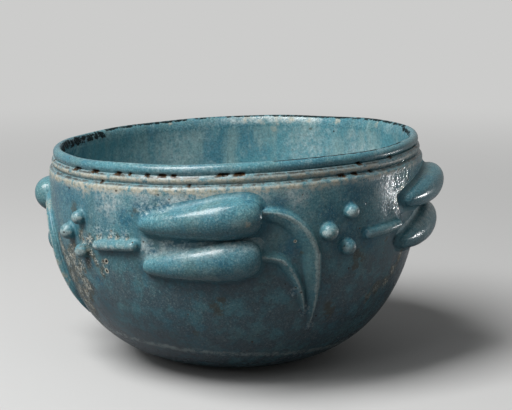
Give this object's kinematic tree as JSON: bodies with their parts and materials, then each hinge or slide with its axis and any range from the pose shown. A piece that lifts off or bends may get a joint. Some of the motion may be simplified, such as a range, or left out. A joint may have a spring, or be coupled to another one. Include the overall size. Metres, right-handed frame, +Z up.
{
  "type": "lotus bud bowl",
  "caption": "Deep round faience bowl with a rolled lip over a rib, and sprays of lotus buds, curved stems, bars and pellets in relief round its wall.",
  "frame": {"origin": "middle of the small flat that the bowl stands on", "axes": "+Z up along the bowl's axis, -Y towards the viewer of the picture, +X to the right, the side on which the mouth stands higher"},
  "size_m": [0.1266, 0.1273, 0.0702],
  "materials": {
    "faience_body": "gloss",
    "faience_relief": "gloss"
  },
  "bodies": {
    "root": {"bowl_body": "faience_body", "back_bar": "faience_relief", "back_lower_bud": "faience_relief", "back_lower_pellet": "faience_relief", "back_lower_stem": "faience_relief", "back_outer_pellet": "faience_relief", "back_upper_bud": "faience_relief", "back_upper_pellet": "faience_relief", "back_upper_stem": "faience_relief", "front_bar": "faience_relief", "front_lower_bud": "faience_relief", "front_lower_pellet": "faience_relief", "front_lower_stem": "faience_relief", "front_outer_pellet": "faience_relief", "front_upper_bud": "faience_relief", "front_upper_pellet": "faience_relief", "front_upper_stem": "faience_relief", "left_bar": "faience_relief", "left_lower_bud": "faience_relief", "left_lower_pellet": "faience_relief", "left_lower_stem": "faience_relief", "left_outer_pellet": "faience_relief", "left_upper_bud": "faience_relief", "left_upper_pellet": "faience_relief", "left_upper_stem": "faience_relief", "right_bar": "faience_relief", "right_lower_bud": "faience_relief", "right_lower_pellet": "faience_relief", "right_lower_stem": "faience_relief", "right_outer_pellet": "faience_relief", "right_upper_bud": "faience_relief", "right_upper_pellet": "faience_relief", "right_upper_stem": "faience_relief"}
  },
  "joints": []
}
